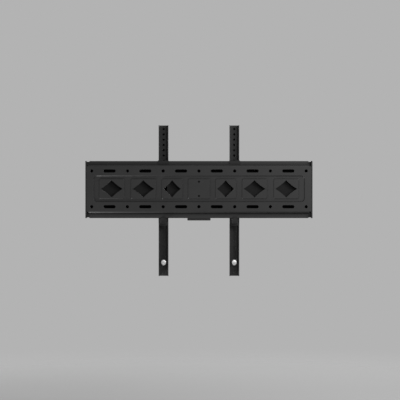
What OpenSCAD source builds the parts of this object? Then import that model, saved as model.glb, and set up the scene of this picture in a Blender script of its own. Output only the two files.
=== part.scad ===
// Tilting wall mount: a pressed wall plate with two rails, two hook brackets that hang on the
// rails, and a tilting arm on each bracket.
// X runs along the plate, Y from the wall to the front, and Z up. The origin is the centre of
// the plate's hole grid, on the wall plane. "Back" is the wall side, "front" the side of the arms.

/* [Wall plate] */
// Length of the plate without its end caps
plate_w = 628; // [600:2:680]
// Thickness of the plate's sheet
plate_t = 2; // [1.6:0.1:2.4]
// Height of the plate over its two shelf bends
web_h = 133; // [128:1:140]
// Height of the top rail above its shelf
rail_top_h = 11.5; // [10.5:0.5:14]
// Height of the bottom rail below its shelf
rail_bottom_h = 15.5; // [14.5:0.5:18]
// Distance from the wall to the back of the rails
rail_y = 14; // [12:0.5:18]
// Inside radius of the plate's bends
bend_r = 1.5; // [1:0.1:2.5]
// Length by which each rail is cut back at its ends
rail_cut = 5; // [3:0.5:8]

/* [Wall holes] */
// Diameter of the round holes and width of the slots
hole_d = 9; // [7:0.5:10]
// Length of a wall slot over its round ends
wall_slot_l = 34; // [24:1:40]
// Distance from the plate's ends to the outermost round holes
end_hole = 14; // [12:1:24]
// Distance between the two rows of holes
row_gap = 100; // [96:1:106]
// Number of round holes on each side of the middle
side_holes = 3; // [2:1:3]

/* [Pressings] */
// Distance from the plate's ends to the long pressed recess
recess_end = 18; // [16:1:26]
// Height of the long pressed recess
recess_h = 74; // [70:1:80]
// Corner radius of the recess
recess_r = 11; // [6:1:16]
// Depth of the recess
recess_depth = 2; // [1:0.1:2.6]
// Height of the panels in the recess
panel_h = 57; // [54:1:62]
// Corner radius of the panels
panel_r = 4.5; // [4:0.5:8]
// Height by which the panels stand back towards the wall
panel_depth = 1.3; // [0.6:0.1:1.8]
// Width of the middle panel
panel_mid_w = 62; // [50:1:70]
// Width of the two inner panels
panel_a_w = 59; // [54:1:62]
// Width of the four outer panels
panel_b_w = 71; // [66:1:74]
// Place of the inner panels, as a share of the recess's length from the middle
panel_a_share = 0.1267; // [0.12:0.0001:0.128]
// Place of the next panels, as a share of the recess's length from the middle
panel_b_share = 0.2627; // [0.255:0.0001:0.27]
// Place of the outermost panels, as a share of the recess's length from the middle
panel_c_share = 0.4122; // [0.402:0.0001:0.418]
// Height of the diamond openings
diamond_h = 49; // [40:1:50]
// Width of the inner diamond openings
diamond_a_w = 49; // [40:1:50]
// Width of the outer diamond openings
diamond_b_w = 62; // [50:1:62]
// Diameter of the two small holes in the middle panel
small_hole_d = 5.3; // [4:0.1:7]
// Distance between the two small holes
small_hole_gap = 40; // [30:1:44]

/* [End caps] */
// Thickness of an end cap beyond the plate
cap_t = 3.5; // [2.5:0.5:6]
// Width of the tongue that grips the front of the sheet
cap_grip_w = 9; // [6:1:12]

/* [Level] */
// Length of the level's housing
level_w = 65; // [56:1:74]
// Length by which the level hangs below the bottom rail
level_drop = 6.7; // [5:0.1:9]
// Height of the level's housing
level_h = 20; // [18:1:24]
// Depth of the level's housing in front of the rail
level_d = 11; // [10:0.5:14]
// Thickness of the level's front cover
level_cover_t = 1.5; // [1:0.1:2.5]
// Length of the vial
vial_l = 34; // [26:1:40]
// Diameter of the vial
vial_d = 8; // [6:0.2:8.6]

/* [Arms] */
// Distance between the two arms
arm_gap = 200; // [190:1:230]
// Outer width of an arm
arm_w = 27.4; // [26:0.2:32]
// Thickness of the arms' sheet
arm_t = 2; // [1.6:0.1:2.4]
// Height of the arm's top above the origin
arm_top = 180; // [176:1:210]
// Depth of the arm's foot below the origin
arm_foot = 246; // [242:1:280]
// Distance from the wall to the arms' front face
front_y = 58; // [56:0.5:70]
// Depth of the arms' side walls near the ends
arm_end_d = 20; // [14:0.5:24]
// Depth of the arms' side walls between the two bolts
arm_mid_d = 36; // [34:0.5:37]
// Diameter of the small holes in the arm's top
arm_hole_d = 6.4; // [5:0.1:8]
// Distance between the small holes
arm_hole_pitch = 15; // [12:0.5:15]
// Number of small holes
arm_holes = 7; // [3:1:7]
// Width of the arm's slots
arm_slot_w = 9; // [8.4:0.1:10]

/* [Screws] */
// Distance between the upper and the lower screw of an arm
screw_gap = 200; // [195:1:204]
// Height of the upper screw
screw_z = -8; // [-12:1:0]
// Diameter of the screws' shafts
screw_d = 8; // [6:0.1:8]
// Length of the screws below their heads
screw_l = 25; // [20:1:40]
// Diameter of the screws' heads
screw_head_d = 16.4; // [14:0.2:17]
// Height of the screws' heads
screw_head_h = 5.6; // [4:0.2:6.4]
// Thickness of the square washers
pad_t = 2; // [1:0.1:3]
// Height of the square washers
pad_h = 20; // [18:0.5:24]

/* [Hook brackets] */
// Thickness of the brackets' sheet
hook_t = 1.5; // [1.2:0.1:2]
// Width of the hook over the top rail
hook_w = 30; // [24:1:30]
// Height of the hook's back leg
hook_leg = 9.5; // [7:0.5:10]
// Play between a bracket and the rail or arm beside it
play = 0.3; // [0.2:0.05:0.4]
// Width of the bracket's window over the upper screw
window_w = 22; // [16:1:23]
// Lower edge of the window
window_z0 = -45; // [-50:1:-35]
// Upper edge of the window
window_z1 = 42; // [34:1:50]
// Depth of the bracket's side walls at the tilt slot
wall_ear_d = 37.5; // [36:0.5:38]
// Depth of the bracket's side walls at the pivot
wall_foot_d = 27; // [25:0.5:30]

/* [Tilt] */
// Height of the tilt pivot
pivot_z = -70; // [-71:0.5:-66]
// Distance from the wall to the tilt pivot
pivot_y = 32; // [31.5:0.5:33]
// Distance from the pivot up to the guide bolt
guide_r = 90; // [84:1:96]
// Largest tilt
tilt_max = 10; // [5:1:11]
// Diameter of the pivot bolt
pivot_d = 8; // [6:0.1:8]
// Diameter of the guide bolt
guide_d = 6; // [5:0.1:6]
// Diameter of the tilt knob over its lobes
knob_d = 28; // [24:1:30]
// Length of the tilt knob
knob_l = 13; // [11:0.5:18]

/* [Latch] */
// Width of the latch
latch_w = 16; // [12:0.5:18]
// Height of the latch below the bottom rail
latch_h = 14.5; // [13:0.5:15]
// Height by which the latch's tongue reaches up behind the rail
tongue_h = 2.4; // [1.5:0.1:3.5]
// Downward travel of the latch
latch_travel = 6; // [4:0.5:6.5]
// Length of the bracket's tail below the bottom rail
tail_l = 21; // [20.5:0.5:26]
// Width of the bracket's tail
tail_w = 22; // [20:0.5:23]
// Outer diameter of the latch spring
spring_d = 6; // [5:0.2:6.4]
// Wire diameter of the latch spring
spring_wire = 0.6; // [0.5:0.1:0.8]
// Number of turns of the latch spring
spring_turns = 5; // [4:1:6]

/* [Hidden] */
$fn = 48;
eps = 0.5;
bore_play = 0.05;
edge_r = 2;
fold_r = 1;
bend_steps = 5;
// Share of the sheet's thickness by which a wall at 45 degrees stands out in front of its back
wall_share = 0.4;

shelf_z = web_h / 2;
bend_out = bend_r + plate_t;
rail_top = shelf_z + rail_top_h;
rail_foot = -shelf_z - rail_bottom_h;
rail_front = rail_y + plate_t;
floor_y = recess_depth;
recess_w = plate_w - 2 * recess_end;
panel_a_x = recess_w * panel_a_share;
panel_b_x = recess_w * panel_b_share;
panel_c_x = recess_w * panel_c_share;
hole_pitch = (plate_w / 2 - end_hole) / side_holes;
rail_chamfer = 3;
cap_grip_t = 1.4;
cap_grip_h = 70;
level_ledge = rail_front - rail_y;
level_z0 = rail_foot - level_drop;
level_y1 = rail_front + level_d;
vial_y = level_y1 - vial_d / 2 - 1;
vial_z = level_z0 + level_h / 2;
vial_play = 0.15;

arm_x = arm_gap / 2;
arm_inner_w = arm_w - 2 * arm_t;
arm_web_y = front_y - arm_t;
arm_mid_y = front_y - arm_mid_d;
arm_end_y = front_y - arm_end_d;
arm_hole_top = arm_top - 10;
arm_shoulder_top = 84;
arm_shoulder_foot = -104;
arm_slope_top = 22;
arm_slope_foot = 20;
guide_z = pivot_z + guide_r;
slot_mid = [-58, 46];
slot_low = [-149, -113];
slot_foot = [-239, -162];

pad_w = arm_inner_w - 2 * fold_r;
pad_hole_d = screw_d + 0.4;
pad_y = arm_web_y - pad_t;
screw_neck_l = pad_t + arm_t + play;
screw_neck_d = screw_d - 1;
drive_w = 1.9;
drive_l = 9;
drive_depth = 3;

hook_y = rail_front + play;
hook_front = hook_y + hook_t;
hook_back = rail_y - play;
hook_top = rail_top + play + hook_t;
bracket_inner = arm_w + 2 * play;
bracket_w = bracket_inner + 2 * hook_t;
wall_foot_z = rail_foot + eps;
wall_top_z = rail_top - 18;
ear_top = 12;
ear_foot = 18;
ear_slope = 24;
tail_z = rail_foot - tail_l;
seat_y = hook_front + spring_d + 2 * play + 1.5;
seat_w = 14;
guide_slot_w = guide_d + 2 * play;

outer_x = bracket_w / 2 + play;
head_t = 5;
head_d = 15;
nut_t = 6.5;
nut_across = 13;
nut_end = outer_x + nut_t;
disc_t = 1.5;
disc_d = 18;
knob_x = outer_x + disc_t + play;
knob_nut_t = 5;
knob_nut_across = 10;
knob_lobes = 5;
lobe_d = 9;
knob_tip = 2;

latch_front = hook_y - play;
latch_back = rail_y - play - 3;
latch_top = rail_foot - play * 2;
latch_foot = latch_top - latch_h;
tongue_w = 8;
pull_h = 3;
pull_out = 4;
neck_w = 6;
neck_h = 5;
neck_top = latch_top - 1.5;
neck_slot_w = neck_w + 2 * play;
keeper_w = 12;
keeper_h = 8;
keeper_y0 = hook_front + play;
keeper_d = spring_d;
keeper_top = neck_top + 1.5;
spring_y = keeper_y0 + spring_d / 2;
spring_top = keeper_top - keeper_h;
spring_foot = tail_z + hook_t;
spike_d = spring_d - 2 * spring_wire - 0.8;
spike_h = 1.4;

SIDES = ["left", "right"];
SHARED = [
    "wall_plate", "end_cap_left", "end_cap_right", "level_housing", "level_cover", "level_vial"
];
PER_SIDE = [
    "hook_bracket", "arm", "pivot_bolt", "pivot_nut", "guide_bolt", "friction_disc", "tilt_knob",
    "knob_nut", "latch", "latch_keeper", "latch_spring", "arm_screws", "arm_pads"
];

// Points of an arc, from angle a0 to angle a1
function arc(x, y, r, a0, a1, steps = bend_steps) =
    [for (i = [0:steps]) let (a = a0 + (a1 - a0) * i / steps) [x + r * cos(a), y + r * sin(a)]];

function reversed(points) = [for (i = [len(points) - 1:-1:0]) points[i]];

function unit(v) = v / norm(v);

function turn(a) = a > 180 ? a - 360 : a < -180 ? a + 360 : a;

// Round corner at point b between its neighbours a and c
function corner(a, b, c, r) =
    let (u = unit(a - b), v = unit(c - b), half = acos(u * v) / 2, m = b + unit(u + v) * r / sin(half),
         s = b + u * r / tan(half) - m, e = b + v * r / tan(half) - m, a0 = atan2(s[1], s[0]))
    arc(m[0], m[1], r, a0, a0 + turn(atan2(e[1], e[0]) - a0));

// Outline with every corner rounded
function rounded(points, r) =
    let (n = len(points))
    [for (i = [0:n - 1]) each corner(points[(i + n - 1) % n], points[i], points[(i + 1) % n], r)];

// Outline in Y and Z, run along X
module along_x(x0, x1) translate([x0, 0, 0]) rotate([90, 0, 90]) linear_extrude(x1 - x0) children();

// Outline in X and Z, run along Y
module along_y(y0, y1) translate([0, y1, 0]) rotate([90, 0, 0]) linear_extrude(y1 - y0) children();

module rod_x(d, x0, x1, y, z) translate([x0, y, z]) rotate([0, 90, 0]) cylinder(d = d, h = x1 - x0);

module rod_y(d, y0, y1, x, z) translate([x, y0, z]) rotate([-90, 0, 0]) cylinder(d = d, h = y1 - y0);

module block(x0, x1, y0, y1, z0, z1) translate([x0, y0, z0]) cube([x1 - x0, y1 - y0, z1 - z0]);

// Rectangle with true round corners, about its centre
module round_rect(w, h, r) {
    square([w - 2 * r, h], center = true);
    square([w, h - 2 * r], center = true);
    for (x = [-1, 1], y = [-1, 1]) translate([x * (w / 2 - r), y * (h / 2 - r)]) circle(r);
}

// Long hole through the sheet, along X, at x and z
module slot_x(w, length, y0, y1, x, z) {
    for (end = [-1, 1]) rod_y(w, y0, y1, x + end * (length - w) / 2, z);
    block(x - (length - w) / 2, x + (length - w) / 2, y0, y1, z - w / 2, z + w / 2);
}

// Long hole through the arm's sheet, along Z, between the two heights of span
module slot_z(w, y0, y1, span) {
    for (z = [span[0] + w / 2, span[1] - w / 2]) rod_y(w, y0, y1, 0, z);
    block(-w / 2, w / 2, y0, y1, span[0] + w / 2, span[1] - w / 2);
}

// Solid with round corners that narrows at 45 degrees as it runs from y0 to the front
module tray(w, h, r, y0, depth) {
    y1 = y0 + depth;
    translate([0, 0, -h / 2 + r])
        linear_extrude(h - 2 * r)
            polygon([[-w / 2, y0], [w / 2, y0], [w / 2 - depth, y1], [depth - w / 2, y1]]);
    along_x(-w / 2 + r, w / 2 - r)
        polygon([[y0, -h / 2], [y0, h / 2], [y1, h / 2 - depth], [y1, depth - h / 2]]);
    for (x = [-1, 1], z = [-1, 1])
        translate([x * (w / 2 - r), y0, z * (h / 2 - r)])
            rotate([-90, 0, 0])
                cylinder(r1 = r, r2 = r - depth, h = depth);
}

// The same solid, narrowing from y0 towards the wall
module tray_back(w, h, r, y0, depth) mirror([0, 1, 0]) tray(w, h, r, -y0, depth);

// One side's half of the sheet's section, from its back face round the rail to its front face
function rail_section(rail_end) =
    let (zc = shelf_z - bend_out, yc = rail_y - bend_r, zr = shelf_z + bend_r)
    concat(
        arc(bend_out, zc, bend_out, 180, 90),
        arc(yc, zr, bend_r, -90, 0),
        [[rail_y, rail_end], [rail_front, rail_end]],
        arc(yc, zr, bend_out, 0, -90),
        arc(bend_out, zc, bend_r, 90, 180)
    );

function flipped(points) = [for (p = points) [p[0], -p[1]]];

// Diamond with slightly hollow sides
function diamond(w, h) =
    let (hollow = 1.12, steps = 6)
    [for (q = [0:3]) for (i = [0:steps - 1])
        let (a = 90 * i / steps, c = pow(cos(a), 2 * hollow), s = pow(sin(a), 2 * hollow),
             x = q % 2 == 0 ? c : -s, z = q % 2 == 0 ? s : c, k = q < 2 ? 1 : -1)
        [k * x * w / 2, k * z * h / 2]];

// Places its children at each panel with a diamond
module at_panels() {
    for (x = [panel_a_x, panel_b_x, panel_c_x], side = [-1, 1])
        translate([side * x, 0, 0]) {
            $panel_w = x == panel_a_x ? panel_a_w : panel_b_w;
            $diamond_w = x == panel_a_x ? diamond_a_w : diamond_b_w;
            children();
        }
}

module panel_back(w) {
    half_t = plate_t / 2;
    tray_back(w + plate_t, panel_h + plate_t, panel_r + half_t, floor_y + half_t, panel_depth + half_t);
}

module panel_hollow(w) {
    grow = eps - plate_t * wall_share;
    tray_back(w + 2 * grow, panel_h + 2 * grow, panel_r + grow,
        floor_y + plate_t + eps, panel_depth + eps);
}

module pressed_sheet() {
    half_t = plate_t / 2;
    grow = half_t + plate_t * wall_share;
    difference() {
        union() {
            along_x(-plate_w / 2, plate_w / 2)
                polygon(concat(rail_section(rail_top), flipped(reversed(rail_section(-rail_foot)))));
            tray(recess_w + 2 * grow, recess_h + 2 * grow, recess_r + grow, half_t, floor_y + half_t);
        }
        tray(recess_w + 2 * eps, recess_h + 2 * eps, recess_r + eps, -eps, floor_y + eps);
    }
}

module rail_ends() {
    cut_x = plate_w / 2 - rail_cut;
    for (side = [-1, 1], level = [[1, rail_top], [-1, rail_foot]]) {
        z0 = level[0] * (shelf_z - bend_out);
        z1 = level[1] + level[0] * eps;
        x0 = side > 0 ? cut_x : -plate_w / 2 - eps;
        block(x0, x0 + rail_cut + eps, -eps, rail_front + eps, min(z0, z1), max(z0, z1));
        along_y(rail_y - eps, rail_front + eps)
            polygon([
                [side * (cut_x - rail_chamfer), level[1]],
                [side * (cut_x + eps), level[1]],
                [side * (cut_x + eps), level[1] - level[0] * rail_chamfer]
            ]);
    }
}

module wall_plate() {
    color("#343537")
    difference() {
        union() {
            pressed_sheet();
            at_panels() panel_back($panel_w);
            panel_back(panel_mid_w);
        }
        at_panels() panel_hollow($panel_w);
        panel_hollow(panel_mid_w);
        at_panels() along_y(-eps, floor_y + plate_t + eps) polygon(diamond($diamond_w, diamond_h));
        for (z = [-1, 1]) rod_y(small_hole_d, -eps, floor_y + plate_t + eps, 0, z * small_hole_gap / 2);
        for (z = [-row_gap / 2, row_gap / 2]) {
            for (i = [-side_holes:side_holes]) rod_y(hole_d, -eps, plate_t + eps, i * hole_pitch, z);
            for (i = [-side_holes:side_holes - 1])
                slot_x(hole_d, wall_slot_l, -eps, plate_t + eps, (i + 0.5) * hole_pitch, z);
        }
        rail_ends();
    }
}

module end_cap(side) {
    x = plate_w / 2;
    mid_z = (rail_top + rail_foot) / 2;
    block_z = shelf_z - bend_out - eps;
    color("#151516")
    mirror([side < 0 ? 1 : 0, 0, 0]) {
        along_x(x, x + cap_t)
            translate([rail_front / 2, mid_z]) round_rect(rail_front, rail_top - rail_foot, edge_r);
        block(x - rail_cut, x + eps, rail_y - eps, rail_front, block_z, rail_top - edge_r);
        block(x - rail_cut, x + eps, rail_y - eps, rail_front, rail_foot + edge_r, -block_z);
        block(x - cap_grip_w, x + eps, plate_t, plate_t + cap_grip_t, -cap_grip_h / 2, cap_grip_h / 2);
    }
}

module level_pocket(y0) {
    pocket = vial_d + 2 * vial_play;
    block(-vial_l / 2 - vial_play, vial_l / 2 + vial_play, y0, level_y1 + eps,
        vial_z - pocket / 2, vial_z + pocket / 2);
}

module level_housing() {
    color("#131314")
    difference() {
        union() {
            along_y(rail_front, level_y1) translate([0, vial_z]) round_rect(level_w, level_h, edge_r);
            intersection() {
                along_y(rail_y, level_y1) translate([0, vial_z]) round_rect(level_w, level_h, edge_r);
                block(-level_w, level_w, rail_front - level_ledge, level_y1, level_z0 - eps, rail_foot);
            }
        }
        level_pocket(vial_y - vial_d / 2 - vial_play);
    }
}

module level_cover() {
    window_l = vial_l - 8;
    window_h = vial_d - 2;
    color("#1d1d1f")
    difference() {
        along_y(level_y1, level_y1 + level_cover_t)
            translate([0, vial_z]) round_rect(level_w - 4, level_h - 3, edge_r);
        block(-window_l / 2, window_l / 2, level_y1 - eps, level_y1 + level_cover_t + eps,
            vial_z - window_h / 2, vial_z + window_h / 2);
    }
}

module level_vial() {
    color("#b9d94a") rod_x(vial_d, -vial_l / 2, vial_l / 2, vial_y, vial_z);
}

// Channel section open to the front, with its web at y0
function channel_front(w, y0, y1, t) =
    let (r = t + fold_r, x = w / 2)
    concat(
        [[-x, y1]], arc(-x + r, y0 + r, r, 180, 270), arc(x - r, y0 + r, r, 270, 360),
        [[x, y1], [x - t, y1]], arc(x - r, y0 + r, r - t, 360, 270), arc(-x + r, y0 + r, r - t, 270, 180),
        [[-x + t, y1]]
    );

module guide_slot(x0, x1) {
    r = guide_r;
    half = guide_slot_w / 2;
    over = r + 10;
    intersection() {
        difference() {
            rod_x(2 * (r + half), x0, x1, pivot_y, pivot_z);
            rod_x(2 * (r - half), x0 - eps, x1 + eps, pivot_y, pivot_z);
        }
        along_x(x0, x1)
            translate([pivot_y, pivot_z])
                polygon([[0, 0], [0, over], [over * sin(tilt_max), over * cos(tilt_max)]]);
    }
    for (a = [0, tilt_max])
        rod_x(guide_slot_w, x0, x1, pivot_y + r * sin(a), pivot_z + r * cos(a));
}

module bracket_walls() {
    ear_y = hook_y + wall_ear_d;
    foot_y = hook_y + wall_foot_d;
    back_y = hook_y - 2 * edge_r;
    side_view = rounded([
        [back_y, wall_foot_z], [foot_y, wall_foot_z], [foot_y, guide_z - ear_foot - ear_slope],
        [ear_y, guide_z - ear_foot], [ear_y, guide_z + ear_top], [foot_y - ear_top, wall_top_z],
        [back_y, wall_top_z]
    ], edge_r);
    difference() {
        intersection() {
            translate([0, 0, wall_foot_z - eps])
                linear_extrude(wall_top_z - wall_foot_z + 2 * eps)
                    polygon(channel_front(bracket_w, hook_y, ear_y + eps, hook_t));
            along_x(-bracket_w / 2 - eps, bracket_w / 2 + eps) polygon(side_view);
        }
        along_y(hook_y - eps, hook_front + 2 * eps)
            translate([0, (window_z0 + window_z1) / 2])
                round_rect(window_w, window_z1 - window_z0, 3 * edge_r);
        rod_x(pivot_d + 2 * bore_play, -bracket_w, bracket_w, pivot_y, pivot_z);
        guide_slot(-bracket_w, bracket_w);
    }
}

module hook() {
    leg_y = hook_back - hook_t;
    back_r = 1.2;
    along_x(-hook_w / 2, hook_w / 2)
        polygon(concat(
            [[hook_front, wall_top_z - eps]],
            arc(hook_front - back_r, hook_top - back_r, back_r, 0, 90),
            arc(leg_y + back_r, hook_top - back_r, back_r, 90, 180),
            [[leg_y, hook_top - hook_leg], [hook_back, hook_top - hook_leg]],
            [[hook_back, hook_top - hook_t], [hook_y, hook_top - hook_t], [hook_y, wall_top_z - eps]]
        ));
}

module tail() {
    slot_top = neck_top + play;
    slot_h = neck_h + latch_travel + 2 * play;
    difference() {
        along_y(hook_y, hook_front)
            translate([0, (tail_z + wall_foot_z + 4) / 2])
                round_rect(tail_w, wall_foot_z + 4 - tail_z, edge_r);
        block(-neck_slot_w / 2, neck_slot_w / 2, hook_y - eps, hook_front + eps,
            slot_top - slot_h, slot_top);
    }
    block(-seat_w / 2, seat_w / 2, hook_y, seat_y, tail_z, tail_z + hook_t);
    translate([0, spring_y, tail_z + hook_t - eps]) cylinder(d = spike_d, h = spike_h + eps);
}

module hook_bracket() {
    color("#2c2d2f") {
        bracket_walls();
        hook();
        tail();
    }
}

module arm() {
    mid_y = arm_mid_y;
    side_view = rounded([
        [front_y + 4 * edge_r, -arm_foot], [front_y + 4 * edge_r, arm_top], [arm_end_y, arm_top],
        [arm_end_y, arm_shoulder_top], [mid_y, arm_shoulder_top - arm_slope_top],
        [mid_y, arm_shoulder_foot + arm_slope_foot], [arm_end_y, arm_shoulder_foot],
        [arm_end_y, -arm_foot]
    ], edge_r);
    color("#2a2b2d")
    difference() {
        intersection() {
            translate([0, 0, -arm_foot - eps])
                linear_extrude(arm_top + arm_foot + 2 * eps)
                    translate([0, front_y])
                        mirror([0, 1, 0])
                            polygon(channel_front(arm_w, 0, arm_mid_d + eps, arm_t));
            along_x(-arm_w, arm_w) polygon(side_view);
        }
        for (i = [0:arm_holes - 1])
            rod_y(arm_hole_d, arm_web_y - eps, front_y + eps, 0, arm_hole_top - i * arm_hole_pitch);
        for (span = [slot_mid, slot_low, slot_foot])
            slot_z(arm_slot_w, arm_web_y - eps, front_y + eps, span);
        rod_x(pivot_d + 2 * bore_play, -arm_w, arm_w, pivot_y, pivot_z);
        rod_x(guide_d + 2 * bore_play, -arm_w, arm_w, pivot_y, guide_z);
    }
}

module pivot_bolt() {
    color("#c9ccd0") {
        rod_x(pivot_d, -nut_end - 1.5, outer_x + eps, pivot_y, pivot_z);
        translate([outer_x, pivot_y, pivot_z])
            rotate([0, 90, 0])
                rotate_extrude()
                    polygon(concat([[0, 0], [head_d / 2, 0]],
                        arc(head_d / 2 - 3, head_t - 3, 3, 0, 90), [[0, head_t]]));
    }
}

// Hexagonal nut along X with its inner face at x0
module hex_nut(across, t, bore, x0, y, z) {
    difference() {
        translate([x0, y, z]) rotate([0, 90, 0]) cylinder(d = across / cos(30), h = t, $fn = 6);
        rod_x(bore, x0 - eps, x0 + t + eps, y, z);
    }
}

module pivot_nut() {
    color("#b8bbbf")
        hex_nut(nut_across, nut_t, pivot_d + 2 * bore_play, -nut_end, pivot_y, pivot_z);
}

module guide_bolt() {
    cap_h = 3.4;
    color("#c9ccd0") {
        rod_x(guide_d, -outer_x - eps, knob_x + knob_l - knob_tip, pivot_y, guide_z);
        translate([-outer_x, pivot_y, guide_z])
            rotate([0, -90, 0])
                rotate_extrude()
                    polygon(concat([[0, 0], [7, 0]], arc(4, 0.4, 3, 0, 90), [[0, cap_h]]));
    }
}

module friction_disc() {
    color("#d8d6cc")
    difference() {
        rod_x(disc_d, outer_x, outer_x + disc_t, pivot_y, guide_z);
        rod_x(guide_d + 0.4, outer_x - eps, outer_x + disc_t + eps, pivot_y, guide_z);
    }
}

module tilt_knob() {
    ring = (knob_d - lobe_d) / 2;
    color("#1a1a1b")
    difference() {
        union() {
            rod_x(2 * ring, knob_x + 1, knob_x + knob_l, pivot_y, guide_z);
            for (i = [0:knob_lobes - 1])
                let (a = 360 * i / knob_lobes)
                rod_x(lobe_d, knob_x + 2, knob_x + knob_l, pivot_y + ring * cos(a), guide_z + ring * sin(a));
            rod_x(disc_d - 2, knob_x, knob_x + 1 + eps, pivot_y, guide_z);
        }
        translate([knob_x - eps, pivot_y, guide_z])
            rotate([0, 90, 0])
                cylinder(d = (knob_nut_across + 0.2) / cos(30), h = knob_nut_t + eps, $fn = 6);
        rod_x(guide_d + 2 * play, knob_x, knob_x + knob_l + eps, pivot_y, guide_z);
    }
}

module knob_nut() {
    color("#c3a452")
        hex_nut(knob_nut_across, knob_nut_t, guide_d + 2 * bore_play, knob_x, pivot_y, guide_z);
}

module latch() {
    color("#202123") {
        block(-latch_w / 2, latch_w / 2, latch_back, latch_front, latch_foot, latch_top);
        block(-tongue_w / 2, tongue_w / 2, latch_back, rail_y - play,
            latch_top - eps, rail_foot + tongue_h);
        block(-latch_w / 2, latch_w / 2, latch_back - pull_out, latch_back + eps,
            latch_foot, latch_foot + pull_h);
        block(-neck_w / 2, neck_w / 2, latch_front - eps, keeper_y0, neck_top - neck_h, neck_top);
    }
}

module latch_keeper() {
    color("#9a9da1") {
        block(-keeper_w / 2, keeper_w / 2, keeper_y0, keeper_y0 + keeper_d, spring_top, keeper_top);
        translate([0, spring_y, spring_top - spike_h]) cylinder(d = spike_d, h = spike_h + eps);
    }
}

// Wire section at angle a of the spring, as a ring of points
function wire_ring(a, z, sides) =
    [for (i = [0:sides - 1])
        let (b = 360 * i / sides, r = (spring_d - spring_wire) / 2 + spring_wire / 2 * cos(b))
        [r * cos(a), r * sin(a), z + spring_wire / 2 * sin(b)]];

module latch_spring() {
    sides = 8;
    steps = 16;
    rings = spring_turns * steps;
    gap = 0.05;
    z0 = spring_foot + spring_wire / 2 + gap;
    rise = spring_top - spring_wire / 2 - gap - z0;
    points = [for (i = [0:rings]) each wire_ring(360 * i / steps, z0 + rise * i / rings, sides)];
    faces = concat(
        [[for (j = [0:sides - 1]) j]],
        [for (i = [0:rings - 1]) for (j = [0:sides - 1])
            let (k = (j + 1) % sides, a = i * sides, b = a + sides)
            each [[a + j, b + j, b + k], [a + j, b + k, a + k]]],
        [[for (j = [sides - 1:-1:0]) rings * sides + j]]
    );
    color("#d5d7da") translate([0, spring_y, 0]) polyhedron(points, faces, convexity = 8);
}

module arm_screw(z) {
    dome_r = 4;
    color("#d9dadc")
    difference() {
        translate([0, pad_y, z]) {
            rotate([90, 0, 0])
                rotate_extrude()
                    polygon(concat([[0, -1], [0, 0], [screw_head_d / 2, 0]],
                        arc(screw_head_d / 2 - dome_r, screw_head_h - dome_r, dome_r, 0, 90),
                        [[0, screw_head_h]]));
            rotate([-90, 0, 0]) {
                cylinder(d = screw_neck_d, h = screw_neck_l + eps);
                translate([0, 0, screw_neck_l]) cylinder(d = screw_d, h = screw_l - screw_neck_l);
            }
        }
        for (turned = [0, 90])
            translate([0, pad_y - screw_head_h, z])
                rotate([0, 45 + turned, 0])
                    cube([drive_l, 2 * drive_depth, drive_w], center = true);
    }
}

module arm_screws() {
    arm_screw(screw_z);
    arm_screw(screw_z - screw_gap);
}

module arm_pads() {
    color("#1b1c1d")
    for (z = [screw_z, screw_z - screw_gap])
        difference() {
            translate([0, 0, z]) along_y(pad_y, arm_web_y) round_rect(pad_w, pad_h, edge_r);
            rod_y(pad_hole_d, pad_y - eps, arm_web_y + eps, 0, z);
        }
}

// Left or right copy of a piece that is drawn about the middle of the right arm
module on_side(side) mirror([side == "left" ? 1 : 0, 0, 0]) translate([arm_x, 0, 0]) children();

wall_plate();
end_cap(-1);  // end_cap_left
end_cap(1);  // end_cap_right
level_housing();
level_cover();
level_vial();
for (side = SIDES) {
    on_side(side) hook_bracket();
    on_side(side) arm();
    on_side(side) pivot_bolt();
    on_side(side) pivot_nut();
    on_side(side) guide_bolt();
    on_side(side) friction_disc();
    on_side(side) tilt_knob();
    on_side(side) knob_nut();
    on_side(side) latch();
    on_side(side) latch_keeper();
    on_side(side) latch_spring();
    on_side(side) arm_screws();
    on_side(side) arm_pads();
}
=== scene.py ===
import bpy
from math import cos, pi, radians, sin
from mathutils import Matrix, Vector


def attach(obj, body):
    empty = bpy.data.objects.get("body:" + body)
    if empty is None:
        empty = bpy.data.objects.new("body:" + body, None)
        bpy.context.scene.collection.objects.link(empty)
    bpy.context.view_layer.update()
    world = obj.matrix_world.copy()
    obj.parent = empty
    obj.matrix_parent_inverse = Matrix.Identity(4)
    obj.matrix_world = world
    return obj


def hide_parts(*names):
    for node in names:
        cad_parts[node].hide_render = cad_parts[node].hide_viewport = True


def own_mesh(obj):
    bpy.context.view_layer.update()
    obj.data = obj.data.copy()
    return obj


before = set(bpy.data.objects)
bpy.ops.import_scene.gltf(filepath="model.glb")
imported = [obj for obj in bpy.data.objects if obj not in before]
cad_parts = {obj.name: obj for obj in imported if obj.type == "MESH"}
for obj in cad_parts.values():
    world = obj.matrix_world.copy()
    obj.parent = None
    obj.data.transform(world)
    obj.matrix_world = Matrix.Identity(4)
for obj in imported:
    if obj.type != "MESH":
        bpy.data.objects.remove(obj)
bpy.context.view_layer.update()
scene = bpy.context.scene
MM = 0.001
SIDES = {"left": -1, "right": 1}

# Measures of the mount, in millimetres, as the frame has them
ARM_X = 100            # the middle of an arm, from the middle of the plate
PIVOT = (32, -70)      # depth and height of the bolt that an arm tilts on
GUIDE = (32, 20)       # depth and height of the bolt in the tilt slot
SEAT_X = 15.8          # from the middle of an arm to where its bolt heads and nuts sit
KNOB_X = 17.6          # from the middle of an arm to the foot of its knob
KNOB_LENGTH = 13
SCREW_Z = (-8, -208)   # heights of the two screws in an arm
SCREW_Y = 54           # where their heads sit
SPRING_Y = 21.1
SPRING_FOOT = -101.5
SPRING_TOP = -90.6
VIAL = (22, -78.7)     # depth and height of the level's vial

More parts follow.
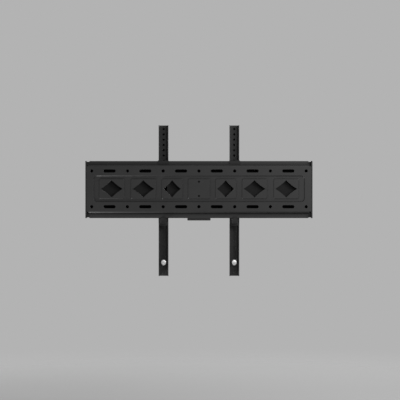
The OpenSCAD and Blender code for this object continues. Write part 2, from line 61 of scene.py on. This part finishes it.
# How sharply faces meet, in degrees: flat sheet, a pressed line, an edge
FLAT, PRESSED, EDGE = 0.6, 35, 55
SAME_POINT = 2e-6      # corners of a CAD node this close, in metres, are one
EDGE_CUTS = 3          # faces across a soft edge


# ---------------------------------------------------------------- modelling

def pick_only(piece):
    """Leaves one piece selected and active"""
    bpy.ops.object.select_all(action="DESELECT")
    piece.select_set(True)
    bpy.context.view_layer.objects.active = piece


def editing(piece, select="SELECT"):
    """Opens a piece for shaping, with all of it picked or nothing"""
    pick_only(piece)
    bpy.ops.object.mode_set(mode="EDIT")
    bpy.ops.mesh.select_all(action=select)


def done():
    """Ends the shaping"""
    bpy.ops.object.mode_set(mode="OBJECT")


def settle(piece):
    """Writes the piece's place and turn into its mesh"""
    pick_only(piece)
    bpy.ops.object.transform_apply(location=True, rotation=True, scale=True)
    return piece


def modified(piece, kind, **settings):
    """Adds a modifier with its settings and applies it"""
    pick_only(piece)
    tool = piece.modifiers.new(kind.title(), kind)
    for name, value in settings.items():
        setattr(tool, name, value)
    bpy.ops.object.modifier_apply(modifier=tool.name)
    return piece


def joined(name, pieces):
    """Makes several pieces one"""
    bpy.ops.object.select_all(action="DESELECT")
    for piece in pieces:
        piece.select_set(True)
    bpy.context.view_layer.objects.active = pieces[0]
    bpy.ops.object.join()
    pieces[0].name = name
    return pieces[0]


def smooth(piece, angle=32):
    """Shades a piece smooth where its faces meet below an angle in degrees"""
    pick_only(piece)
    bpy.ops.object.shade_smooth_by_angle(angle=radians(angle))
    return piece


def turned(name, profile, sides=48):
    """Turned piece along Z: rings of (height, radius) in millimetres, closed at both ends"""
    z, r = profile[0]
    bpy.ops.mesh.primitive_circle_add(
        vertices=sides, radius=r * MM, fill_type="NGON", location=(0, 0, z * MM))
    piece = bpy.context.object
    piece.name = name
    editing(piece)
    for z1, r1 in profile[1:]:
        bpy.ops.mesh.extrude_region_move(
            TRANSFORM_OT_translate={"value": (0, 0, (z1 - z) * MM)})
        bpy.ops.transform.resize(value=(r1 / r, r1 / r, 1), center_override=(0, 0, z1 * MM))
        z, r = z1, r1
    bpy.ops.mesh.select_all(action="SELECT")
    bpy.ops.mesh.normals_make_consistent(inside=False)
    done()
    return settle(piece)


def rounding(z, r, radius, steps=5, up=True):
    """Rings of a rounded rim that ends at height z, for a piece of radius r"""
    rings = []
    for i in range(steps + 1):
        a = pi / 2 * i / steps
        rings.append((z - radius + radius * sin(a), r - radius + radius * cos(a)))
    return rings if up else [(2 * z - h, q) for h, q in reversed(rings)]


def crown(z, r, radius, start, step):
    """Rings of a rounded screw head, from an angle in degrees up to its flat top"""
    return [(z + radius * sin(radians(a)), r + radius * cos(radians(a)))
            for a in range(start, 91, step)]


def prism(name, across, z0, z1):
    """Hexagonal bar along Z between two heights, by its width across the flats"""
    bpy.ops.mesh.primitive_cylinder_add(
        vertices=6, radius=across / 2 / cos(pi / 6) * MM, depth=(z1 - z0) * MM,
        location=(0, 0, (z0 + z1) / 2 * MM))
    piece = bpy.context.object
    piece.name = name
    return settle(piece)


def bar(name, low, high):
    """Rectangular bar between two corners, in millimetres"""
    size = [(b - a) * MM for a, b in zip(low, high)]
    middle = [(a + b) / 2 * MM for a, b in zip(low, high)]
    bpy.ops.mesh.primitive_cube_add(size=1, location=middle, scale=size)
    piece = bpy.context.object
    piece.name = name
    return settle(piece)


def carved(piece, cutter, operation="DIFFERENCE"):
    """Cuts one piece with another, which is used up. Neither may overlap itself."""
    modified(piece, "BOOLEAN", object=cutter, operation=operation, solver="EXACT")
    bpy.data.objects.remove(cutter)
    return piece


def wound(name, radius, section, z0, z1, turns, steps=24):
    """Helix along Z: a small section (corners, size, turn) wound up from z0 to z1"""
    corners, size, turned_by = section
    bpy.ops.mesh.primitive_circle_add(
        vertices=corners, radius=size * MM, location=(radius * MM, 0, z0 * MM),
        rotation=(pi / 2, turned_by, 0))
    piece = settle(bpy.context.object)
    piece.name = name
    modified(piece, "SCREW", angle=2 * pi * turns, screw_offset=(z1 - z0) * MM, iterations=1,
             steps=round(steps * turns), render_steps=round(steps * turns),
             use_merge_vertices=False, use_smooth_shade=True)
    editing(piece, "DESELECT")
    bpy.ops.mesh.select_mode(type="EDGE")
    bpy.ops.mesh.select_non_manifold(extend=False)
    bpy.ops.mesh.edge_face_add()
    bpy.ops.mesh.select_all(action="SELECT")
    bpy.ops.mesh.normals_make_consistent(inside=False)
    done()
    return piece


def set_at(piece, turn, at):
    """Turns a piece made along Z and puts it in its place, in millimetres"""
    piece.rotation_euler = turn
    piece.location = [v * MM for v in at]
    return settle(piece)


def twin(piece, name):
    """Copy with its own mesh"""
    copy = bpy.data.objects.new(name, piece.data.copy())
    scene.collection.objects.link(copy)
    return copy


def finished(piece, body, finish, slot, *nodes):
    """Gives a piece its finish and its body, and hides the CAD nodes that it stands for"""
    piece.data.materials.clear()
    piece.data.materials.append(finish)
    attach(piece, body)
    if nodes:
        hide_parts(*nodes)
    return piece


def pick_edges(piece, low, high):
    """Selects the edges whose faces meet at an angle between low and high degrees"""
    editing(piece, "DESELECT")
    bpy.ops.mesh.select_mode(type="EDGE")
    done()
    faces = {}
    for face in piece.data.polygons:
        for key in face.edge_keys:
            faces.setdefault(key, []).append(face.normal)
    for edge in piece.data.edges:
        sides = faces.get(edge.key, [])
        if len(sides) == 2:
            angle = sides[0].angle(sides[1], 0)
            edge.select = radians(low) < angle <= radians(high)
    bpy.ops.object.mode_set(mode="EDIT")


def softened(piece, low, high, width):
    """Rounds the edges between two angles in degrees, over a width in millimetres"""
    pick_edges(piece, low, high)
    bpy.ops.mesh.bevel(
        offset=width * MM, segments=EDGE_CUTS, affect="EDGES", clamp_overlap=True)
    done()


def eased(node, body, finish, slot, edge, crease=0):
    """A CAD node with the soft edges that rolling, pressing or moulding and the coat leave"""
    piece = twin(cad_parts[node], node + "_eased")
    editing(piece)
    bpy.ops.mesh.remove_doubles(threshold=SAME_POINT)
    bpy.ops.mesh.dissolve_limited(angle_limit=radians(FLAT))
    bpy.ops.mesh.normals_make_consistent(inside=False)
    done()
    if crease:
        softened(piece, PRESSED, EDGE, crease)
    softened(piece, EDGE, 180, edge)
    smooth(piece)
    modified(piece, "WEIGHTED_NORMAL", keep_sharp=True)
    return finished(piece, body, finish, slot, node)


# ---------------------------------------------------------------- finishes

def colour(code):
    """Linear colour of an sRGB hex code"""
    parts = [int(code[i:i + 2], 16) / 255 for i in (1, 3, 5)]
    return [c / 12.92 if c <= 0.04045 else ((c + 0.055) / 1.055) ** 2.4 for c in parts] + [1]


def add(tree, kind, values=None, links=None, **settings):
    """Adds a node with its settings, its values and what is linked into it"""
    made = tree.nodes.new("ShaderNode" + kind)
    for name, value in settings.items():
        setattr(made, name, value)
    for name, value in (values or {}).items():
        made.inputs[name].default_value = value
    for name, source in (links or {}).items():
        tree.links.new(source, made.inputs[name])
    return made


# Painted shade: how open a place is, from tight corners and creases, painted black, to open
# places that show their full colour
CORNER_SHADE_FADE = {"From Min": 0.58, "From Max": 0.94, "To Min": 0}


def finish_of(name, dark, light, patch, rough, grain, depth, streak=(1, 1, 1), corner_shade=0,
              **shader):
    """Finish with slow colour patches and a fine grain; patch, grain and depth in millimetres.
    Where corner_shade is given, it paints shade: places with other faces within that many
    millimetres get a dimmed colour."""
    material = bpy.data.materials.new(name)
    material.use_nodes = True
    tree = material.node_tree
    surface = tree.nodes["Principled BSDF"]
    place = add(tree, "TexCoord").outputs["Object"]
    along = add(tree, "Mapping", {"Scale": streak}, {"Vector": place}).outputs["Vector"]
    slow = add(tree, "TexNoise", {"Scale": 1000 / patch, "Detail": 4, "Roughness": 0.6},
               {"Vector": along})
    tint = add(tree, "Mix", {"A": colour(dark), "B": colour(light)}, None, data_type="RGBA")
    tree.links.new(slow.outputs["Fac"], tint.inputs["Factor"])
    base = tint.outputs["Result"]
    # Painted shade: the base colour is dimmed where other faces are close
    if corner_shade:
        near = add(tree, "AmbientOcclusion", {"Distance": corner_shade * MM}, samples=6)
        fade = add(tree, "MapRange", CORNER_SHADE_FADE, {"Value": near.outputs["AO"]})
        painted_corner_shade = add(tree, "VectorMath", None, {0: base, "Scale": fade.outputs["Result"]},
                     operation="SCALE")
        base = painted_corner_shade.outputs["Vector"]
    tree.links.new(base, surface.inputs["Base Color"])
    fine = add(tree, "TexNoise", {"Scale": 1000 / grain, "Detail": 3, "Roughness": 0.55},
               {"Vector": along})
    gloss = add(tree, "MapRange", {"To Min": rough[0], "To Max": rough[1]},
                {"Value": slow.outputs["Fac"]})
    tree.links.new(gloss.outputs["Result"], surface.inputs["Roughness"])
    relief = add(tree, "Bump", {"Strength": 1, "Distance": depth * MM},
                 {"Height": fine.outputs["Fac"]})
    tree.links.new(relief.outputs["Normal"], surface.inputs["Normal"])
    for key, value in shader.items():
        surface.inputs[key.replace("_", " ")].default_value = value
    return material


# Black polyester powder coat on sheet steel: satin, with a soft orange peel. The peel is drawn at
# 2 mm and more, coarser than the real 1 mm, so that it still breaks up the gloss in the picture.
# Its corners and creases within 10 mm get painted shade.
plate_coat = finish_of("plate_powder_coat", "#252525", "#2d2d2d", 60, (0.36, 0.5), 2.4, 0.02,
                       corner_shade=10, Specular_IOR_Level=0.3)
# The same coat, flatter, on the arms
arm_coat = finish_of("arm_powder_coat", "#232323", "#2b2b2b", 70, (0.4, 0.54), 2.2, 0.02,
                     Specular_IOR_Level=0.3)
# The same black coat on the brackets, a deeper black as painted shade, for they lie in the shade
# behind the plate
bracket_coat = finish_of("shaded_bracket_powder_coat", "#101010", "#161616", 40, (0.44, 0.57), 2.0, 0.02,
                         Specular_IOR_Level=0.3)
# Glass-filled nylon, moulded in a spark-eroded tool: a dull black with a fine even grain
cap_nylon = finish_of("moulded_black_nylon", "#0e0e0e", "#141414", 14, (0.42, 0.56), 0.7, 0.015,
                      Specular_IOR_Level=0.35)
# The knob's nylon, from a smoother tool: a little paler and glossier, as a grip is
knob_nylon = finish_of("moulded_knob_nylon", "#141414", "#1b1b1b", 9, (0.36, 0.5), 0.6, 0.012)
# The washers' nylon, unpolished: the dullest of the three
washer_nylon = finish_of("moulded_washer_nylon", "#0e0e0e", "#151515", 8, (0.46, 0.6), 0.6, 0.012)
# Acetal bearing disc, punched from sheet: ivory, smooth and a little waxy
disc_acetal = finish_of("punched_acetal", "#cfccc0", "#dedbd0", 6, (0.34, 0.46), 1.2, 0.004,
                        Subsurface_Weight=0.15, Subsurface_Scale=0.002)
# Bright zinc plate on turned steel: a cool silver, cloudy where the bath left it so
screw_zinc = finish_of("bright_zinc_plate", "#e6e6e6", "#f8f8f8", 3, (0.3, 0.42), 0.5, 0.004,
                       Metallic=1)
# Zinc plate on a nut, rubbed dull in the barrel: greyer, with larger clouds
nut_zinc = finish_of("dull_zinc_plate", "#a9adb2", "#c6c9cd", 4, (0.34, 0.5), 0.6, 0.006,
                     Metallic=1)
# Stamped steel, tumbled and oiled: plain mid grey and matt
keeper_steel = finish_of("barrelled_steel", "#84878b", "#a2a5a8", 3, (0.38, 0.55), 0.5, 0.008,
                         Metallic=1)
# Spring wire, bright from the drawing die, with close bands along its length
spring_steel = finish_of("drawn_spring_steel", "#a8abaf", "#d0d2d5", 2, (0.22, 0.36), 0.3, 0.002,
                         streak=(1, 1, 4), Metallic=1)
# Brass bar, turned: a warm yellow with a soft shine
nut_brass = finish_of("turned_brass", "#b08d3c", "#cfae5c", 3, (0.24, 0.38), 0.4, 0.004,
                      Metallic=1)
# The nut's locking ring: plain nylon, natural white
lock_nylon = finish_of("natural_nylon", "#d5d4cd", "#e4e3dc", 5, (0.4, 0.5), 0.8, 0.004)
# Cast acrylic barrel with the level's yellow-green spirit in it: clear, wet and very smooth
spirit = finish_of("dyed_spirit_in_acrylic", "#bcd93c", "#c8e34a", 12, (0.03, 0.06), 6, 0.0005,
                   IOR=1.45, Transmission_Weight=0.4)
# The bubble in it: paler, and smoother still
air = finish_of("air_bubble", "#eef6c8", "#f6fbe0", 6, (0.02, 0.04), 3, 0.0002,
                IOR=1.1, Transmission_Weight=0.6)
# Printed ink of the level's two marks: a flat black
ink = finish_of("printed_black_ink", "#0c0c0c", "#141414", 3, (0.4, 0.5), 0.5, 0.001)

# ---------------------------------------------------------------- sheet metal and mouldings

eased("wall_plate", "wall", plate_coat, "plate_coat", 0.3, 0.9)
for side in SIDES:
    eased("end_cap_" + side, "wall", cap_nylon, "black_plastic", 0.6)
    eased("hook_bracket_" + side, "bracket_" + side, bracket_coat, "bracket_coat", 0.28)
    eased("arm_" + side, "swing_" + side, arm_coat, "arm_coat", 0.3)
    eased("arm_pads_" + side, "swing_" + side, washer_nylon, "pad_plastic", 0.35)
    eased("friction_disc_" + side, "swing_" + side, disc_acetal, "disc_plastic", 0.2)
    eased("latch_keeper_" + side, "catch_" + side, keeper_steel, "plain_steel", 0.3)
eased("level_housing", "wall", cap_nylon, "black_plastic", 0.35)
eased("level_cover", "wall", cap_nylon, "black_plastic", 0.35)

# ---------------------------------------------------------------- arm screws

# Sections that are wound: corners, size in millimetres, and turn
COARSE_RIDGE = (3, 0.46, pi / 6)
FINE_RIDGE = (3, 0.36, pi / 6)
WIRE_SIZE = 0.3
WIRE = (10, WIRE_SIZE, 0)
RIDGE_R = 3.54    # where the ridges of the two large threads run, so that they reach 8 mm across

screw = joined("arm_screw", [
    turned("screw_shank", [(-1, 3.5), (0.6, 3.5), (0.8, 3.45), (23.4, 3.45), (25, 2.7)], 32),
    wound("screw_thread", RIDGE_R, COARSE_RIDGE, 1.2, 23.6, 18),
])
# Pan head with a cross recess, whose blades narrow at the bottom
RECESS_Z = 3.2
head = turned("screw_head", [(0, 7.9), (0.25, 8.2), (2.6, 8.2)] + crown(2.9, 5.9, 2.3, 12, 13)
              + [(5.45, 3.5), (5.6, 1.0)], 64)
for turn in (45, 135):
    blade = bar("driver", (-4.4, -0.7, RECESS_Z), (4.4, 0.7, 6.6))
    editing(blade, "DESELECT")
    done()
    for vertex in blade.data.vertices:
        vertex.select = vertex.co.z < 4 * MM
    bpy.ops.object.mode_set(mode="EDIT")
    bpy.ops.transform.resize(value=(0.3, 0.75, 1), center_override=(0, 0, RECESS_Z * MM))
    done()
    set_at(blade, (0, 0, radians(turn)), (0, 0, 0))
    carved(head, blade)
set_at(head, (pi, 0, 0), (0, 0, 0))
screw = joined("arm_screw", [screw, head])
smooth(screw, 35)
for side, sign in SIDES.items():
    pair = [set_at(twin(screw, "arm_screw_copy"), (-pi / 2, 0, 0), (sign * ARM_X, SCREW_Y, z))
            for z in SCREW_Z]
    finished(joined("arm_screws_set_" + side, pair), "swing_" + side, screw_zinc, "screw_zinc",
             "arm_screws_" + side)
bpy.data.objects.remove(screw)

# ---------------------------------------------------------------- pivot

# Button head with a hexagon socket; the plain shank runs through both walls to its nut
head = turned("pivot_head", [(0, 7.3), (0.2, 7.5), (1.8, 7.5)] + crown(2, 4.5, 3, 15, 15)
              + [(5, 1)], 64)
carved(head, prism("socket", 5, 2.2, 6))
pivot = joined("pivot_bolt", [
    head,
    turned("pivot_shank", [(-38.9, 2.9), (-38.1, 3.5), (-32, 3.5), (-31.6, 3.98), (0.5, 3.98)],
           40),
    wound("pivot_thread", RIDGE_R, COARSE_RIDGE, -37.9, -31.8, 5),
])
smooth(pivot, 35)
# Hexagon with a collar, in which the locking ring sits
NUT_BORE = 4.05
nut = turned("nut_hexagon", [(0, 6.3), (0.7, 7.6), (4.1, 7.6), (4.65, 6.4)], 48)
carved(nut, prism("wrench_faces", 13, -1, 6), "INTERSECT")
carved(nut, turned("nut_bore", [(-1, NUT_BORE), (6, NUT_BORE)], 40))
collar = turned("nut_collar", [(4.6, 5.8), (6.0, 5.8)] + rounding(6.5, 5.8, 0.5, 3), 48)
carved(collar, turned("collar_bore", [(4, NUT_BORE), (5.18, NUT_BORE), (5.2, 4.9), (7.2, 4.9)],
                      40))
nut = joined("pivot_nut", [nut, collar])
smooth(nut, 30)
ring = turned("lock_ring", [(5.15, 4.85), (6.1, 4.85), (6.2, 4.75)], 40)
carved(ring, turned("ring_bore", [(5, 4.02), (7, 4.02)], 40))
smooth(ring, 30)
for side, sign in SIDES.items():
    out = (0, sign * pi / 2, 0)
    inward = (0, -sign * pi / 2, 0)
    bolt_at = (sign * (ARM_X + SEAT_X), *PIVOT)
    nut_at = (sign * (ARM_X - SEAT_X), *PIVOT)
    finished(set_at(twin(pivot, "pivot_bolt_made_" + side), out, bolt_at),
             "bracket_" + side, screw_zinc, "zinc", "pivot_bolt_" + side)
    finished(set_at(twin(nut, "pivot_nut_made_" + side), inward, nut_at),
             "bracket_" + side, nut_zinc, "zinc", "pivot_nut_" + side)
    finished(set_at(twin(ring, "pivot_nut_lock_" + side), inward, nut_at),
             "bracket_" + side, lock_nylon, "disc_plastic")
for spare in (pivot, nut, ring):
    bpy.data.objects.remove(spare)

# ---------------------------------------------------------------- tilt lock

# Low round head with a plain shank through both walls, and a thread for the knob's nut
tip = KNOB_X + KNOB_LENGTH - 2 + SEAT_X
guide = joined("guide_bolt", [
    turned("guide_head", [(-3.4, 1)] + rounding(-3.4, 7, 3, 5, False) + [(0, 7)], 56),
    turned("guide_shank", [(-0.5, 2.98), (33, 2.98), (33.3, 2.6), (tip - 1, 2.6), (tip, 2.0)],
           32),
    wound("guide_thread", 2.68, FINE_RIDGE, 33.6, tip - 0.9, 11),
])
smooth(guide, 35)

# Star knob: a hub and five lobes run together as the mould gives them
LOBES = 5
LOBE_RING = 9.5
blank = [turned("knob_hub", rounding(2, 9.6, 1, 3, False) + [(2.4, 9.6)]
                + rounding(KNOB_LENGTH, 9.6, 1.2, 4), 48),
         turned("knob_foot", [(0, 7.8), (0.2, 8), (3, 8)], 48)]
for i in range(LOBES):
    a = 2 * pi * i / LOBES
    lobe = turned("knob_lobe", rounding(2, 4.5, 1.2, 4, False) + rounding(12.6, 4.5, 1.6, 5), 32)
    blank.append(set_at(lobe, (0, 0, 0), (LOBE_RING * cos(a), LOBE_RING * sin(a), 0)))
knob = joined("tilt_knob", blank)
modified(knob, "REMESH", mode="VOXEL", voxel_size=0.42 * MM, use_smooth_shade=True)
modified(knob, "SMOOTH", factor=0.5, iterations=9)
carved(knob, turned("knob_dish", [(11.9, 5.2), (12.4, 6.0), (14, 6.6)], 48))
carved(knob, turned("knob_bore", [(-1, 3.3), (14, 3.3)], 32))
carved(knob, prism("knob_pocket", 10.2, -1, 5))
smooth(knob, 35)

# Brass hexagon in the knob's pocket. Its chamfer is turned a little, off the hexagon's corners.
brass = prism("knob_nut", 10, 0, 5)
chamfer = turned("nut_chamfer", [(-0.5, 4.9), (0.5, 5.9), (4.5, 5.9), (5.5, 4.9)], 48)
carved(brass, set_at(chamfer, (0, 0, radians(3)), (0, 0, 0)), "INTERSECT")
carved(brass, turned("brass_bore", [(-1, 3.05), (6, 3.05)], 32))
smooth(brass, 30)
for side, sign in SIDES.items():
    out = (0, sign * pi / 2, 0)
    guide_at = (sign * (ARM_X - SEAT_X), *GUIDE)
    knob_at = (sign * (ARM_X + KNOB_X), *GUIDE)
    finished(set_at(twin(guide, "guide_bolt_made_" + side), out, guide_at),
             "swing_" + side, screw_zinc, "zinc", "guide_bolt_" + side)
    finished(set_at(twin(knob, "tilt_knob_made_" + side), out, knob_at),
             "knob_" + side, knob_nylon, "knob_plastic", "tilt_knob_" + side)
    finished(set_at(twin(brass, "knob_nut_made_" + side), out, knob_at),
             "knob_" + side, nut_brass, "brass", "knob_nut_" + side)
for spare in (guide, knob, brass):
    bpy.data.objects.remove(spare)

# ---------------------------------------------------------------- latches

# A latch hangs in its bracket, and its spring gives way by the 6 mm that it is pulled; here the
# spring is drawn at rest and rides on the bracket
SPRING_R = 2.7
SPRING_TURNS = 5
END_GAP = WIRE_SIZE + 0.02
for side, sign in SIDES.items():
    x = sign * ARM_X
    eased("latch_" + side, "catch_" + side, cap_nylon, "black_plastic", 0.5)
    spring = wound("latch_spring_made_" + side, SPRING_R, WIRE,
                   SPRING_FOOT + END_GAP, SPRING_TOP - END_GAP, SPRING_TURNS, 20)
    set_at(spring, (0, 0, 0), (x, SPRING_Y, 0))
    finished(spring, "bracket_" + side, spring_steel, "spring_steel", "latch_spring_" + side)
    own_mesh(spring)

# ---------------------------------------------------------------- level

BARREL_R = 4
BARREL_HALF = 17
MARK_X = 6.2       # from the vial's middle to a mark
MARK_HALF = 0.35   # half the width of a mark
MARK_R = 4.04
barrel = turned("level_barrel", rounding(-BARREL_HALF, BARREL_R, 0.8, 4, False)
                + rounding(BARREL_HALF, BARREL_R, 0.8, 4), 48)
smooth(barrel, 35)
set_at(barrel, (0, pi / 2, 0), (0, *VIAL))
finished(barrel, "wall", spirit, "vial_fluid", "level_vial")
bubble = turned("level_bubble", rounding(-5, 1.7, 1.6, 6, False) + rounding(5, 1.7, 1.6, 6), 32)
smooth(bubble, 60)
set_at(bubble, (0, pi / 2, 0), (0, VIAL[0] + 2.4, VIAL[1] + 0.6))
finished(bubble, "wall", air, "vial_fluid")
marks = []
for x in (-MARK_X, MARK_X):
    mark = turned("level_mark", [(x - MARK_HALF, MARK_R), (x + MARK_HALF, MARK_R)], 48)
    carved(mark, turned("mark_bore", [(x - 1, 3.9), (x + 1, 3.9)], 48))
    marks.append(mark)
marks = joined("level_marks", marks)
smooth(marks, 35)
set_at(marks, (0, pi / 2, 0), (0, *VIAL))
finished(marks, "wall", ink, "black_plastic")

# ---------------------------------------------------------------- room

FLOOR_Z = -0.62
FLOOR_HALF = 3


def sheet_of(name, low, high):
    """Flat sheet between two corners, in metres"""
    bpy.ops.mesh.primitive_plane_add(size=1)
    sheet = bpy.context.object
    sheet.name = name
    for vertex, (u, v) in zip(sheet.data.vertices, ((0, 0), (1, 0), (0, 1), (1, 1))):
        vertex.co = [low[0] + (high[0] - low[0]) * u,
                     low[1] + (high[1] - low[1]) * v,
                     low[2] + (high[2] - low[2]) * v]
    return sheet


def stage_material(sheet):
    """Empty material of a stage sheet, for its nodes"""
    material = bpy.data.materials.new(sheet.name)
    material.use_nodes = True
    material.node_tree.nodes.clear()
    sheet.data.materials.append(material)
    return material.node_tree


# Pale floor that fades into the pale room, so that no horizon shows
floor = sheet_of("floor", (-FLOOR_HALF, -FLOOR_HALF, FLOOR_Z), (FLOOR_HALF, FLOOR_HALF, FLOOR_Z))
tree = stage_material(floor)
place = add(tree, "TexCoord").outputs["Object"]
away = add(tree, "VectorMath", None, {0: place}, operation="LENGTH")
fade = add(tree, "MapRange", {"From Min": 0.7, "From Max": 1.9},
           {"Value": away.outputs["Value"]}, interpolation_type="SMOOTHSTEP")
matt = add(tree, "BsdfDiffuse", {"Color": colour("#b8b8b8")})
clear = add(tree, "BsdfTransparent")
mix = add(tree, "MixShader", None,
          {"Fac": fade.outputs["Result"], 1: matt.outputs["BSDF"], 2: clear.outputs["BSDF"]})
add(tree, "OutputMaterial", None, {"Surface": mix.outputs["Shader"]})


def shade(name, low, high, tone):
    """Painted shade: a dark matt sheet between two corners, in millimetres, that shows its wall
    side alone
    """
    sheet = sheet_of(name, [v * MM for v in low], [v * MM for v in high])
    tree = stage_material(sheet)
    back = add(tree, "NewGeometry").outputs["Backfacing"]
    dark = add(tree, "BsdfDiffuse", {"Color": colour(tone)})
    clear = add(tree, "BsdfTransparent")
    mix = add(tree, "MixShader", None,
              {"Fac": back, 1: dark.outputs["BSDF"], 2: clear.outputs["BSDF"]})
    add(tree, "OutputMaterial", None, {"Surface": mix.outputs["Shader"]})
    for ray in ("shadow", "diffuse", "glossy", "transmission"):
        setattr(sheet, "visible_" + ray, False)
    return sheet


# From the wall side the openings look into the shade in front of the plate. Flat sheets stand for
# that shade alone: five close behind the plate, and two that ride on each arm, just past the web
# with its holes and slots.
PLATE_SHADE_Y = 13.5
ARM_SHADE_Y = 58.4
ARM_SHADE_HALF = 9
REACH_X = 311      # how far the shade goes out and up behind the plate
REACH_Z = 57
BAND_Z = 33        # where the row of diamonds ends and the bands with the slots begin
SLOT_TONE = "#0c0c0c"
DIAMOND_TONE = "#2a2a2a"
for name, x0, x1, z0, z1, tone in (
        ("upper", -REACH_X, REACH_X, BAND_Z, REACH_Z, SLOT_TONE),
        ("left", -REACH_X, -117, -BAND_Z, BAND_Z, DIAMOND_TONE),
        ("middle", -88.3, 88.3, -BAND_Z, BAND_Z, DIAMOND_TONE),
        ("right", 117, REACH_X, -BAND_Z, BAND_Z, DIAMOND_TONE),
        ("lower", -REACH_X, REACH_X, -REACH_Z, -BAND_Z, SLOT_TONE)):
    shade("shade_" + name, (x0, PLATE_SHADE_Y, z0), (x1, PLATE_SHADE_Y, z1), tone)
for side, sign in SIDES.items():
    x0, x1 = sign * ARM_X - ARM_SHADE_HALF, sign * ARM_X + ARM_SHADE_HALF
    for part, z0, z1, tone in (("foot", -243, 56, "#484848"), ("top", 56, 177, "#121212")):
        sheet = shade("shade_" + side + "_" + part,
                      (x0, ARM_SHADE_Y, z0), (x1, ARM_SHADE_Y, z1), tone)
        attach(sheet, "swing_" + side)


def softbox(name, at, aim, size, power):
    """Soft lamp that shines from one point towards another, not seen itself"""
    data = bpy.data.lights.new(name, "AREA")
    data.shape, data.size, data.size_y, data.energy = "RECTANGLE", size[0], size[1], power
    light = bpy.data.objects.new(name, data)
    scene.collection.objects.link(light)
    light.location = at
    light.rotation_euler = (Vector(aim) - Vector(at)).to_track_quat("-Z", "Y").to_euler()
    light.visible_camera = False


# Two lamps on the wall side, a small one low for the pressed lines, and two behind
softbox("key_front", (0.7, -2.6, 0.8), (0, 0, 0), (0.7, 0.7), 14)
softbox("key_right", (1.1, -0.95, 0.5), (0, 0, 0), (0.7, 0.7), 14)
softbox("low_left", (-0.5, -0.1, -0.59), (-0.5, -0.1, 0), (0.18, 0.16), 6.5)
softbox("back_right", (1.6, 2.4, 1.2), (0, 0, 0), (1.6, 1.6), 70)
softbox("back_left", (-2.0, 2.0, 0.4), (0, 0, 0), (1.4, 1.4), 45)

# The room lights the object faintly, and shows pale to the camera, in metal and through the vial
ROOM_LIGHT = 0.25
world = bpy.data.worlds.new("room")
scene.world = world
world.use_nodes = True
tree = world.node_tree
seen = add(tree, "LightPath")
mirrored_room = add(tree, "Math", None,
                    {0: seen.outputs["Is Glossy Ray"], 1: seen.outputs["Is Transmission Ray"]},
                    operation="MAXIMUM")
shown = add(tree, "Math", None,
            {0: seen.outputs["Is Camera Ray"], 1: mirrored_room.outputs["Value"]},
            operation="MAXIMUM")
strength = add(tree, "MapRange", {"To Min": ROOM_LIGHT, "To Max": 1},
               {"Value": shown.outputs["Value"]})
tree.nodes["Background"].inputs["Color"].default_value = colour("#b3b3b3")
tree.links.new(strength.outputs["Result"], tree.nodes["Background"].inputs["Strength"])

# Square on from the wall side, as the photograph is; the view is so wide at the wall's face
DISTANCE = 4
VIEW_WIDTH = 1.118
SENSOR = 36
camera = bpy.data.objects.new("camera", bpy.data.cameras.new("camera"))
scene.collection.objects.link(camera)
camera.location = (0.003, -DISTANCE, -0.0312)
camera.rotation_euler = (pi / 2, 0, 0)
camera.data.sensor_width = SENSOR
camera.data.lens = SENSOR * DISTANCE / VIEW_WIDTH
camera.data.clip_end = 50
scene.camera = camera
scene.view_settings.view_transform = "Standard"
